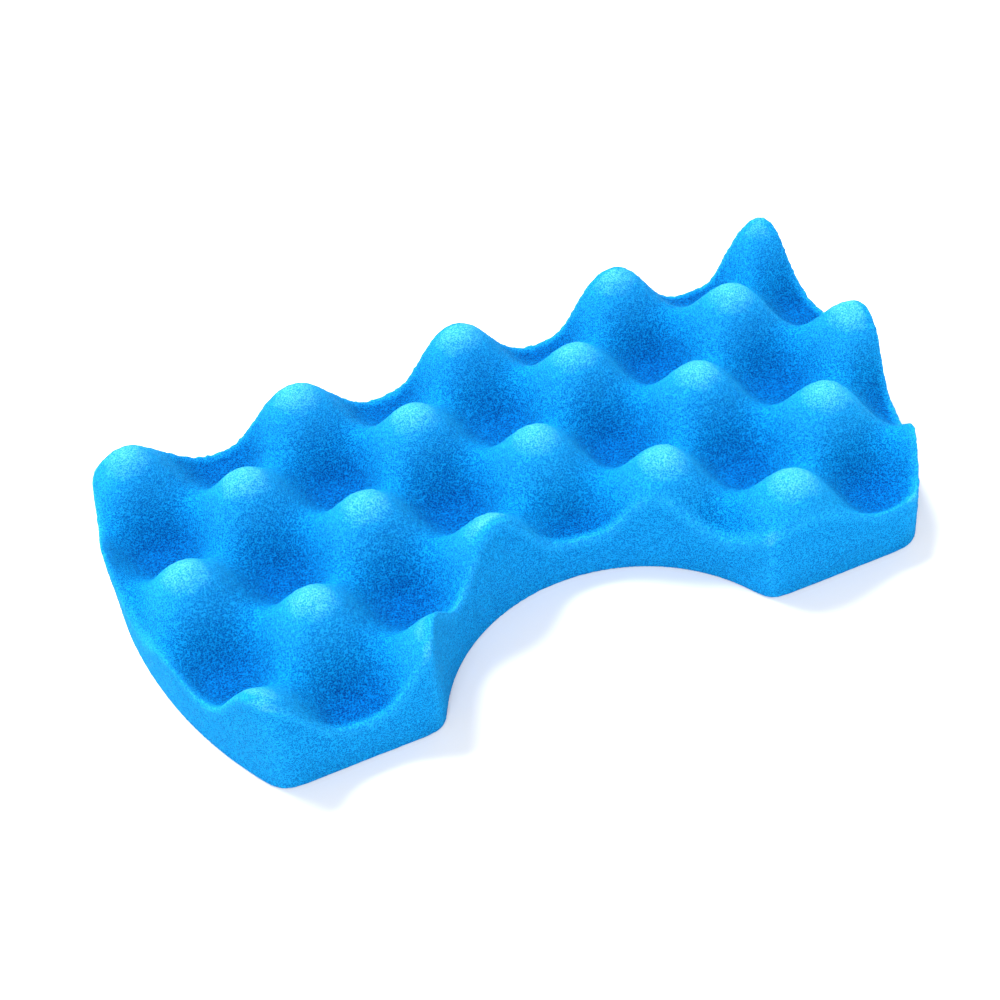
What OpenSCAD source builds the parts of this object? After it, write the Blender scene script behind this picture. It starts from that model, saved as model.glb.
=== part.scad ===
// Convoluted foam filter pad: a flat-backed block of open-cell foam with an egg-crate face.
// Units are millimetres. +Z is up, X runs along the pad, and the round notch is in the -Y side.
// The origin is the middle of the flat underside.

/* [Outline] */
// Length over the two round ends
pad_length = 160; // [144:0.5:176]
// Width from the straight back edge to the front edge
pad_width = 81; // [74:0.5:88]
// Radius of the two round ends
end_radius = 98; // [86:1:120]
// Distance of the round ends' centres behind the middle of the pad
end_centre_y = 11; // [0:0.5:16]
// Radius on every upright corner
corner_radius = 3; // [1:0.25:5]

/* [Notch] */
// Radius of the notch in the front edge
notch_radius = 35.5; // [30:0.5:38]
// Distance of the notch's centre in front of the front edge
notch_centre_out = 12; // [9:0.5:16]

/* [Egg-crate face] */
// Height of the peaks above the underside
peak_height = 24; // [20:0.5:28]
// Height of the valleys above the underside
valley_height = 9.8; // [8:0.2:12]
// Distance between peaks along a row, and between every second row
pitch = 36; // [32:0.5:40]
// How steeply the face leaves its valleys (1 is a plain wave, 0 a flat floor)
valley_slope = 0; // [0:0.1:1]
// How steeply the face leaves its peaks (1 is a plain wave, 0 a flat top)
peak_slope = 0.9; // [0:0.1:1.5]
// Distance of the back row of peaks in front of the back edge
back_row_inset = 3.9; // [0:0.1:8]
// Distance the pattern sits to the right of the pad's middle
pattern_shift = 4.5; // [-6:0.1:6]
// Angle the pattern is turned anticlockwise from the pad's edges
pattern_turn = 2.1; // [-4:0.1:4]

/* [Facets] */
// Facets along each straight front piece
front_steps = 14; // [8:1:18]
// Facets round the notch
notch_steps = 36; // [24:2:40]
// Facets across the pad, along each round end
end_steps = 32; // [24:2:36]

/* [Hidden] */
end_centre_x = pad_length / 2 - end_radius;
back_y = pad_width / 2;
front_y = -pad_width / 2;
notch_y = front_y - notch_centre_out;
back_row_y = back_y - back_row_inset;
round_steps = 4;

// Centres of the corner rounds, right-hand side
end_reach = end_radius - corner_radius;
front_round_y = front_y + corner_radius;
back_round_y = back_y - corner_radius;
front_round_x = end_centre_x + sqrt(pow(end_reach, 2) - pow(front_round_y - end_centre_y, 2));
back_round_x = end_centre_x + sqrt(pow(end_reach, 2) - pow(back_round_y - end_centre_y, 2));
lip_round_x = sqrt(pow(notch_radius + corner_radius, 2) - pow(front_round_y - notch_y, 2));

// Directions at which the arcs meet
front_meet = atan2(front_round_y - end_centre_y, front_round_x - end_centre_x);
back_meet = atan2(back_round_y - end_centre_y, back_round_x - end_centre_x);
lip_meet = atan2(front_round_y - notch_y, lip_round_x);
front_half = (front_meet - 90) / 2;
back_half = (back_meet + 90) / 2;

// Points on an arc, ends included
function arc(x, y, r, a0, a1, steps) =
    [for (k = [0 : steps]) [x + r * cos(a0 + (a1 - a0) * k / steps), y + r * sin(a0 + (a1 - a0) * k / steps)]];

// Points between two ends, neither included
function run(p, q, steps) = [for (k = [1 : steps - 1]) p + (q - p) * k / steps];

// A line of points seen in a mirror on the YZ plane, in reverse order
function mirrored(line) = [for (k = [len(line) - 1 : -1 : 0]) [-line[k][0], line[k][1]]];

// The front edge from the middle of the notch to the middle of the front corner
front_right = concat(
    arc(0, notch_y, notch_radius, 90, lip_meet, notch_steps / 2),
    [for (k = [1 : 2 * round_steps]) let (a = lip_meet + 180 + (90 - lip_meet) * k / (2 * round_steps))
        [lip_round_x + corner_radius * cos(a), front_round_y + corner_radius * sin(a)]],
    run([lip_round_x, front_y], [front_round_x, front_y], front_steps),
    arc(front_round_x, front_round_y, corner_radius, -90, front_half, round_steps)
);
front_line = concat([for (k = [0 : len(front_right) - 2]) mirrored(front_right)[k]], front_right);
columns = len(front_line) - 1;

// The round end from the middle of the front corner to the middle of the back corner
right_line = concat(
    arc(front_round_x, front_round_y, corner_radius, front_half, front_meet, round_steps),
    [for (k = [1 : end_steps - 1]) let (a = front_meet + (back_meet - front_meet) * k / end_steps)
        [end_centre_x + end_radius * cos(a), end_centre_y + end_radius * sin(a)]],
    arc(back_round_x, back_round_y, corner_radius, back_meet, back_half, round_steps)
);
rows = len(right_line) - 1;

// The back edge, with its points spread like those of the front edge
back_end = [
    back_round_x + corner_radius * cos(back_half),
    back_round_y + corner_radius * sin(back_half)
];
function back_point(k) =
    let (x = front_line[k][0] * back_end[0] / front_line[columns][0], over = abs(x) - back_round_x)
    [x, over > 0 ? back_round_y + sqrt(pow(corner_radius, 2) - pow(over, 2)) : back_y];

// One point of the plan, blended from the four edges
function plan(i, j) =
    let (
        u = (1 + front_line[i][0] / front_line[columns][0]) / 2,
        v = (right_line[j][1] - right_line[0][1]) / (right_line[rows][1] - right_line[0][1]),
        f = front_line[i],
        b = back_point(i),
        r = right_line[j],
        l = [-r[0], r[1]],
        f0 = front_line[0],
        f1 = front_line[columns],
        b0 = back_point(0),
        b1 = back_point(columns)
    )
    (1 - v) * f + v * b + (1 - u) * l + u * r
    - ((1 - u) * (1 - v) * f0 + u * (1 - v) * f1 + (1 - u) * v * b0 + u * v * b1);

// Height of the egg-crate face
function face_height(p) =
    let (
        along = p[0] * cos(pattern_turn) + p[1] * sin(pattern_turn) - pattern_shift,
        across = p[1] * cos(pattern_turn) - p[0] * sin(pattern_turn) - back_row_y,
        t = (1 + cos(360 * along / pitch) * cos(360 * across / pitch)) / 2,
        bend = (valley_slope - 1) * (1 - t) + (1 - peak_slope) * t
    )
    valley_height + (peak_height - valley_height) * (t + t * (1 - t) * bend);

module foam_pad() {
    across = columns + 1;
    top_count = across * (rows + 1);
    top = [for (j = [0 : rows]) for (i = [0 : columns]) let (p = plan(i, j)) [p[0], p[1], face_height(p)]];
    ring = concat(
        [for (i = [0 : columns]) i],
        [for (j = [1 : rows]) j * across + columns],
        [for (i = [columns - 1 : -1 : 0]) rows * across + i],
        [for (j = [rows - 1 : -1 : 1]) j * across]
    );
    count = len(ring);
    base = [for (k = [0 : count - 1]) [top[ring[k]][0], top[ring[k]][1], 0]];
    face_triangles = [
        for (j = [0 : rows - 1])
        for (i = [0 : columns - 1])
        let (a = j * across + i, b = a + 1, c = a + across, d = c + 1)
        each [[a, c, b], [b, c, d]]
    ];
    walls = [
        for (k = [0 : count - 1])
        let (n = (k + 1) % count)
        [ring[k], ring[n], top_count + n, top_count + k]
    ];
    first_back = columns + rows;
    underside = concat(
        [
            for (i = [0 : columns - 1])
            let (b = top_count + i, c = top_count + first_back + columns - i)
            [b, b + 1, c - 1, c]
        ],
        [[for (j = [0 : rows]) top_count + columns + j]],
        [[for (j = [0 : rows]) top_count + (first_back + columns + j) % count]]
    );
    color([0.12, 0.62, 0.93])
    polyhedron(points = concat(top, base), faces = concat(face_triangles, walls, underside), convexity = 8);
}

foam_pad();
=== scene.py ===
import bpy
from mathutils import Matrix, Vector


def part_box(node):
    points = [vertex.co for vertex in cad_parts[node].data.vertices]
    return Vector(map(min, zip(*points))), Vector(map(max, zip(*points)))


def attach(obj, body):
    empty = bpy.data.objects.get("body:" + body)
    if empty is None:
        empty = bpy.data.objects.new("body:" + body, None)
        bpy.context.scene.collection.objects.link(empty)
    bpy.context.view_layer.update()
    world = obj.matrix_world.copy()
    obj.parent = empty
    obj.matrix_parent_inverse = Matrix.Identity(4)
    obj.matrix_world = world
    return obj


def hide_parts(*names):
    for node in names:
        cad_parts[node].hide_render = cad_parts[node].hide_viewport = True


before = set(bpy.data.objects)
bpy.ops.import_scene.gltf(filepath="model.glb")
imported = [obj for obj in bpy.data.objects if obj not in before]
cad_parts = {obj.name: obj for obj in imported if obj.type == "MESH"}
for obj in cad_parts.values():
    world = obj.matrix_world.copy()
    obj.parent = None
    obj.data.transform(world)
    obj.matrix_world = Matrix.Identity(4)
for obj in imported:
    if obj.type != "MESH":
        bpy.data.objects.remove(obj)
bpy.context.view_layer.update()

import math

import bpy
from mathutils import Matrix, Vector

# ---------------------------------------------------------------------------
# The pad. One block of open-cell polyurethane foam, cut with a steel rule die
# from a sheet whose face was already shaped into peaks and valleys by a
# convoluting machine. The knife leaves straight upright walls all round.
# ---------------------------------------------------------------------------

MM = 1000.0                             # millimetres in a metre
low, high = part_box("foam_pad")
PAD = {
    # Plan, mm
    "Length": (high[0] - low[0]) * MM,
    "Width": (high[1] - low[1]) * MM,
    "End Radius": 98.0,
    "End Centre": 11.0,                 # behind the middle of the pad
    "Corner Round": 5.0,
    "Notch Radius": 35.5,
    "Notch Centre Out": 12.0,           # in front of the front edge
    # Wavy face, mm; slopes are shares of a plain cosine's, the turn in degrees
    "Peak Height": 24.0,
    "Valley Height": 9.8,
    "Pitch": 36.0,
    "Valley Slope": 0.0,
    "Peak Slope": 0.9,
    "Back Row Inset": 3.9,
    "Pattern Shift": 4.5,
    "Pattern Turn": 2.1,
    # Softness of the cut, mm
    "Edge Round": 1.2,
    "Hem Round": 0.8,
    "Wave Length": 14.0,
    "Wave Depth": 0.7,
    "Tear Length": 1.0,
    "Tear Depth": 0.55,
    "Fade Height": 2.0,
    # Fineness of the mesh, mm
    "Voxel": 0.42,
}
MARGIN = 1.2                            # room round the pad for the tears, mm


class Value:
    """A number in a node tree. Arithmetic on it adds Math nodes."""

    def __init__(self, tree, socket):
        self.tree = tree
        self.socket = socket

    def combine(self, operation, *items):
        node = self.tree.nodes.new("ShaderNodeMath")
        node.operation = operation
        for place, item in zip(node.inputs, items):
            if isinstance(item, Value):
                self.tree.links.new(item.socket, place)
            else:
                place.default_value = item
        return Value(self.tree, node.outputs[0])

    def math(self, operation, *others):
        return self.combine(operation, self, *others)

    def __add__(self, other):
        return self.math("ADD", other)

    def __sub__(self, other):
        return self.math("SUBTRACT", other)

    def __mul__(self, other):
        return self.math("MULTIPLY", other)

    def __truediv__(self, other):
        return self.math("DIVIDE", other)

    def __rsub__(self, other):
        return self.combine("SUBTRACT", other, self)

    def __rtruediv__(self, other):
        return self.combine("DIVIDE", other, self)

    __radd__ = __add__
    __rmul__ = __mul__


class Bench:
    """A node tree being filled, with one method for every kind of node.

    A place is a socket's name with _ for each space, or _0, _1 and so on for
    its number. It takes a plain value, a socket or a Value.
    """

    def __init__(self, tree):
        self.tree = tree

    def add(self, kind, settings=None, **places):
        node = self.tree.nodes.new(kind)
        for name, item in (settings or {}).items():
            setattr(node, name, item)
        for name, item in places.items():
            number = name[1:]
            place = node.inputs[int(number) if number.isdigit() else name.replace("_", " ")]
            if isinstance(item, Value):
                item = item.socket
            if isinstance(item, bpy.types.NodeSocket):
                self.tree.links.new(item, place)
            else:
                place.default_value = item
        return node

    def value(self, socket):
        return Value(self.tree, socket)


def inside_walls(size, x, y):
    """How far inside the cut walls a point is, with round and with sharp corners."""

    def reach(dx, dy):
        return (dx * dx + dy * dy).math("SQRT")

    half_width = size["Width"] / 2.0
    end_x = size["Length"] / 2.0 - size["End Radius"]
    notch_y = half_width * -1.0 - size["Notch Centre Out"]
    right_end = size["End Radius"] - reach(x - end_x, y - size["End Centre"])
    left_end = size["End Radius"] - reach(x + end_x, y - size["End Centre"])
    back = half_width - y
    front = half_width + y
    notch = reach(x, y - notch_y) - size["Notch Radius"]
    rounded = sharp = right_end
    for wall in (left_end, back, front, notch):
        rounded = rounded.math("SMOOTH_MIN", wall, size["Corner Round"])
        sharp = sharp.math("MINIMUM", wall)
    return rounded, sharp


def below_face(size, x, y, z):
    """How far below the wavy face a point is.

    The face is a wave along the pad times a wave across it, both turned a
    little on the pad, and bent so that the valley floors are round and wide.
    """
    turn = size["Pattern Turn"] * (math.pi / 180.0)
    cos_turn, sin_turn = turn.math("COSINE"), turn.math("SINE")
    wave = 2.0 * math.pi / size["Pitch"]
    back_row = size["Width"] / 2.0 - size["Back Row Inset"]
    along = (x * cos_turn + y * sin_turn - size["Pattern Shift"]) * wave
    across = (y * cos_turn - x * sin_turn - back_row) * wave
    cos_along, sin_along = along.math("COSINE"), along.math("SINE")
    cos_across, sin_across = across.math("COSINE"), across.math("SINE")

    t = 0.5 + 0.5 * (cos_along * cos_across)
    low_bend = size["Valley Slope"] - 1.0
    high_bend = 1.0 - size["Peak Slope"]
    bent = t + t * (1.0 - t) * (low_bend * (1.0 - t) + high_bend * t)
    climb = size["Peak Height"] - size["Valley Height"]
    face = size["Valley Height"] + climb * bent

    # A height becomes a distance once it is divided by how steep the face is
    steep = climb * wave * 0.5
    slope_x = steep * sin_along * cos_across
    slope_y = steep * cos_along * sin_across
    lean = (1.0 + slope_x * slope_x + slope_y * slope_y).math("SQRT")
    return (face - z) / lean


def foam_tree():
    """The pad as a field that is positive inside, skinned on a fine grid."""
    tree = bpy.data.node_groups.new("FoamPad", "GeometryNodeTree")
    ends = tree.interface
    ends.new_socket("Geometry", in_out="OUTPUT", socket_type="NodeSocketGeometry")
    for name in PAD:
        ends.new_socket(name, in_out="INPUT", socket_type="NodeSocketFloat")
    ends.new_socket("Foam", in_out="INPUT", socket_type="NodeSocketMaterial")
    bench = Bench(tree)
    given = bench.add("NodeGroupInput")
    size = {name: bench.value(given.outputs[name]) for name in PAD}
    position = bench.add("GeometryNodeInputPosition").outputs[0]
    split = bench.add("ShaderNodeSeparateXYZ", Vector=position)
    x, y, z = (bench.value(out) * MM for out in split.outputs)

    wall, sharp_wall = inside_walls(size, x, y)
    depth = below_face(size, x, y, z)
    solid = wall.math("SMOOTH_MIN", depth, size["Edge Round"])
    solid = solid.math("SMOOTH_MIN", z, size["Hem Round"])

    # Slow waves from cutting a soft sheet, and the tears of the cut cells.
    # Both fade out towards the flat underside.
    def uneven(length, amount, detail, roughness):
        noise = bench.add(
            "ShaderNodeTexNoise", {"noise_dimensions": "3D"},
            Vector=position, Scale=MM / size[length], Detail=detail, Roughness=roughness,
        )
        return (bench.value(noise.outputs[0]) - 0.5) * size[amount]

    clear = (z / size["Fade Height"]).math("MINIMUM", 1.0).math("MAXIMUM", 0.0)
    solid = solid + uneven("Wave Length", "Wave Depth", 2.0, 0.5) * clear
    solid = solid + uneven("Tear Length", "Tear Depth", 1.0, 0.6) * clear

    # The grid that the field is read on
    reach_x = (size["Length"] / 2.0 + MARGIN) / MM
    reach_y = (size["Width"] / 2.0 + MARGIN) / MM
    reach_z = (size["Peak Height"] + MARGIN) / MM
    start = bench.add("ShaderNodeCombineXYZ", X=reach_x * -1.0, Y=reach_y * -1.0, Z=-MARGIN / MM)
    stop = bench.add("ShaderNodeCombineXYZ", X=reach_x, Y=reach_y, Z=reach_z)

    def steps(name):
        return ((size[name] + 2 * MARGIN) / size["Voxel"]).math("CEIL")

    grid = bench.add(
        "GeometryNodeVolumeCube",
        Density=solid, Background=-1.0, Min=start.outputs[0], Max=stop.outputs[0],
        Resolution_X=steps("Length"), Resolution_Y=steps("Width"), Resolution_Z=steps("Peak Height"),
    )
    skin = bench.add(
        "GeometryNodeVolumeToMesh", {"resolution_mode": "GRID"},
        Volume=grid.outputs[0], Threshold=0.0, Adaptivity=0.0,
    ).outputs[0]

    # What the finish reads at each point of the skin, mostly to place its painted shade and painted
    # light. Rounding cuts at most a sixth of its reach off a corner, which makes the crease 1 there.
    climb = size["Peak Height"] - size["Valley Height"]
    for name, item in (
        ("rise", (z - size["Valley Height"]) / climb),
        ("side", wall),
        ("crease", (sharp_wall - wall) / (size["Corner Round"] / 6.0)),
        ("over", depth),
    ):
        skin = bench.add(
            "GeometryNodeStoreNamedAttribute", {"data_type": "FLOAT", "domain": "POINT"},
            Geometry=skin, Name=name, Value=item,
        ).outputs[0]
    smooth = bench.add("GeometryNodeSetShadeSmooth", Geometry=skin, Shade_Smooth=True)
    made = bench.add("GeometryNodeRealizeInstances", Geometry=smooth.outputs[0])
    foamed = bench.add(
        "GeometryNodeSetMaterial", Geometry=made.outputs[0], Material=given.outputs["Foam"],
    )
    bench.add("NodeGroupOutput", _0=foamed.outputs[0])
    return tree


CELL = 0.36                             # spacing of the open cells, mm
RAGGED = 0.16                           # unevenness of the struts, mm
PATCH = 2.4                             # patches of more and less torn cells, mm
CLOUD = 16.0                            # slow drift of the dye, mm
STRUT_WEIGHT = 0.60                     # weight of the cells in the pattern, beside 1 for the raggedness
STRUT_BAND = (0.60, 0.98)               # from hollow to strut in that pattern
STRUT_RELIEF = 0.16                     # how far a strut stands out of its hollows, mm
FACE_BAND = (0.3, 2.6)                  # from a wall's painted shade to the face's, going in, mm
RIM_BAND = (0.2, 2.6)                   # from a cut rim's painted light to a wall's painted shade, going down, mm
WALL_PAINTED_SHADE = 0.50                       # a wall's painted shade, where a valley is 0 and a peak 1
RIM_PAINTED_LIGHT = 0.30                         # painted light that a cut rim adds to that shade
CORNER_PAINTED_LIGHT = 0.16                      # painted light that an upright corner adds
PATCH_SWING = 0.14                      # how far apart the patches set it
CLOUD_SWING = 0.10                      # how far apart the dye sets it
HOLLOW_PAINTED_SHADE_BLUES = (                        # inside the cells: painted shade down the valleys, painted light up the peaks
    (0.00, (0.000, 0.036, 0.19)),
    (0.35, (0.000, 0.092, 0.35)),
    (0.80, (0.003, 0.180, 0.53)),
    (1.00, (0.010, 0.265, 0.64)),
)
STRUT_PAINTED_SHADE_BLUES = (                         # the struts: painted shade down the valleys, painted light up the peaks
    (0.00, (0.000, 0.150, 0.49)),
    (0.35, (0.003, 0.275, 0.66)),
    (0.80, (0.012, 0.350, 0.76)),
    (1.00, (0.080, 0.490, 0.86)),
)


def foam_finish_with_painted_light():
    """Dyed open-cell foam: dark hollows between thin paler struts.

    All of it is painted paler up the peaks, along the cut rims and down the corners, and darker down the
    valleys: painted light and painted shade.
    """
    material = bpy.data.materials.new("blue_foam")
    material.use_nodes = True
    material.node_tree.nodes.clear()
    bench = Bench(material.node_tree)
    place = bench.add("ShaderNodeTexCoord").outputs["Object"]

    def attribute(name):
        node = bench.add("ShaderNodeAttribute", {"attribute_name": name})
        return bench.value(node.outputs["Fac"])

    def band(item, start, end):
        node = bench.add(
            "ShaderNodeMapRange", {"interpolation_type": "SMOOTHSTEP"},
            Value=item, From_Min=start, From_Max=end,
        )
        return bench.value(node.outputs[0])

    def noise(period, detail, roughness):
        node = bench.add(
            "ShaderNodeTexNoise",
            Vector=place, Scale=MM / period, Detail=detail, Roughness=roughness,
        )
        return bench.value(node.outputs[0])

    def ramp(stops, item):
        node = bench.add("ShaderNodeValToRGB", Fac=item)
        colours = node.color_ramp.elements
        while len(colours) > 1:
            colours.remove(colours[-1])
        for index, (at, colour) in enumerate(stops):
            stop = colours[0] if index == 0 else colours.new(at)
            stop.position = at
            stop.color = (*colour, 1.0)
        return node.outputs[0]

    # A strut runs where every cell's centre is far away
    cells = bench.add(
        "ShaderNodeTexVoronoi", {"feature": "F1"}, Vector=place, Scale=MM / CELL, Randomness=1.0,
    )
    from_centre = bench.value(cells.outputs["Distance"])
    strut = band(from_centre * STRUT_WEIGHT + noise(RAGGED, 0.0, 0.5), *STRUT_BAND)

    # How pale the foam is painted: painted shade down the valleys, painted light up the peaks, along the
    # cut rims and down the corners; the patches and the drift of the dye added after are its own tone
    top = band(attribute("side"), *FACE_BAND)
    # Painted light: a wall is paler just below its cut rim
    rim = (1.0 - band(attribute("over"), *RIM_BAND)) * (1.0 - top)
    # Painted light: a wall is paler down an upright corner
    wall = WALL_PAINTED_SHADE + rim * RIM_PAINTED_LIGHT + attribute("crease") * CORNER_PAINTED_LIGHT
    painted_light_and_tone = attribute("rise") * top + (1.0 - top) * wall
    painted_light_and_tone = painted_light_and_tone + (noise(PATCH, 2.0, 0.6) - 0.5) * PATCH_SWING
    painted_light_and_tone = painted_light_and_tone + (noise(CLOUD, 1.0, 0.5) - 0.5) * CLOUD_SWING

    colour = bench.add(
        "ShaderNodeMix", {"data_type": "RGBA"},
        Factor=strut, _6=ramp(HOLLOW_PAINTED_SHADE_BLUES, painted_light_and_tone), _7=ramp(STRUT_PAINTED_SHADE_BLUES, painted_light_and_tone),
    )
    bump = bench.add("ShaderNodeBump", Strength=0.6, Distance=STRUT_RELIEF / MM, Height=strut)
    shader = bench.add(
        "ShaderNodeBsdfPrincipled",
        Base_Color=colour.outputs[2], Normal=bump.outputs[0],
        Roughness=0.9, Specular_IOR_Level=0.03,
        Subsurface_Weight=0.3, Subsurface_Radius=(0.15, 0.6, 1.0), Subsurface_Scale=0.002,
        Sheen_Weight=0.12, Sheen_Roughness=0.3, Sheen_Tint=(0.05, 0.65, 1.0, 1.0),
    )
    bench.add("ShaderNodeOutputMaterial", Surface=shader.outputs[0])
    return material


# The tree runs once on a throwaway object, and its result becomes the pad
maker = bpy.data.objects.new("foam_maker", bpy.data.meshes.new("foam_maker"))
bpy.context.collection.objects.link(maker)
modifier = maker.modifiers.new("Foam", "NODES")
modifier.node_group = foam_tree()
given = {**PAD, "Foam": foam_finish_with_painted_light()}
for item in modifier.node_group.interface.items_tree:
    if item.in_out == "INPUT":
        modifier[item.identifier] = given[item.name]
graph = bpy.context.evaluated_depsgraph_get()
skin = bpy.data.meshes.new_from_object(
    maker.evaluated_get(graph), preserve_all_data_layers=True, depsgraph=graph,
)
bpy.data.objects.remove(maker)

pad = bpy.data.objects.new("foam_block", skin)
bpy.context.collection.objects.link(pad)
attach(pad, "root")
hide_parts("foam_pad")

# ---------------------------------------------------------------------------
# The floor. A sheet of matt white paper under the pad, wide enough that its
# edges stay out of sight.
# ---------------------------------------------------------------------------

FLOOR_REACH = 6.0                       # from the middle to each edge, metres
paper = bpy.data.materials.new("paper")
paper.use_nodes = True
matt = paper.node_tree.nodes["Principled BSDF"].inputs
matt["Base Color"].default_value = (0.9, 0.9, 0.9, 1)
matt["Roughness"].default_value = 0.9
sheet = bpy.data.meshes.new("floor")
corners = [(x * FLOOR_REACH, y * FLOOR_REACH, 0) for x, y in ((-1, -1), (1, -1), (1, 1), (-1, 1))]
sheet.from_pydata(corners, [], [(0, 1, 2, 3)])
sheet.materials.append(paper)
floor = bpy.data.objects.new("floor", sheet)
bpy.context.collection.objects.link(floor)

# ---------------------------------------------------------------------------
# The light. A white sky, and two wide soft lamps far off: the key shines over
# the back edge and rakes the peaks, and a weaker fill comes from in front.
# ---------------------------------------------------------------------------

# The sky lights the foam less than it looks: the camera sees it plain white,
# so that a low view shows no horizon
SKY_LIGHT = 0.55
world = bpy.data.worlds.new("studio")
world.use_nodes = True
world.node_tree.nodes.clear()
sky = Bench(world.node_tree)
seen = sky.value(sky.add("ShaderNodeLightPath").outputs["Is Camera Ray"])
glow = sky.add(
    "ShaderNodeBackground", Color=(1, 1, 1, 1), Strength=SKY_LIGHT + seen * (1.0 - SKY_LIGHT),
)
sky.add("ShaderNodeOutputWorld", Surface=glow.outputs[0])
bpy.context.scene.world = world

AIM = Vector((0, 0, 0.01))
for name, where, spread, power in (
    ("key", (-0.15, 0.45, 0.70), 30.0, 5.4),
    ("fill", (-0.22, -0.62, 0.55), 40.0, 2.3),
):
    light = bpy.data.lights.new(name, "SUN")
    light.angle = math.radians(spread)
    light.energy = power
    lamp = bpy.data.objects.new(name, light)
    lamp.location = where
    lamp.rotation_euler = (AIM - Vector(where)).to_track_quat("-Z", "Y").to_euler()
    bpy.context.collection.objects.link(lamp)

bpy.context.scene.view_settings.view_transform = "Standard"

# ---------------------------------------------------------------------------
# The camera. It stands in front of the pad and to the left, looks down on it
# at about 44 degrees, and is tipped a little so that the right end rises.
# ---------------------------------------------------------------------------

azimuth, elevation, roll = (math.radians(angle) for angle in (-18.31, 44.26, -7.19))
TARGET = Vector((-0.0047, -0.0007, 0.0109))
DISTANCE = 0.3877
back = Vector((
    math.sin(azimuth) * math.cos(elevation),
    -math.cos(azimuth) * math.cos(elevation),
    math.sin(elevation),
))
right = Vector((math.cos(azimuth), math.sin(azimuth), 0.0))
up = back.cross(right)
tipped_right = right * math.cos(roll) + up * math.sin(roll)
tipped_up = up * math.cos(roll) - right * math.sin(roll)
turn = Matrix((tipped_right, tipped_up, back)).transposed()

eye = bpy.data.cameras.new("camera")
eye.lens = 71.2
eye.sensor_width = 36.0
eye.clip_start = 0.01
camera = bpy.data.objects.new("camera", eye)
camera.matrix_world = Matrix.Translation(TARGET + back * DISTANCE) @ turn.to_4x4()
bpy.context.collection.objects.link(camera)
bpy.context.scene.camera = camera
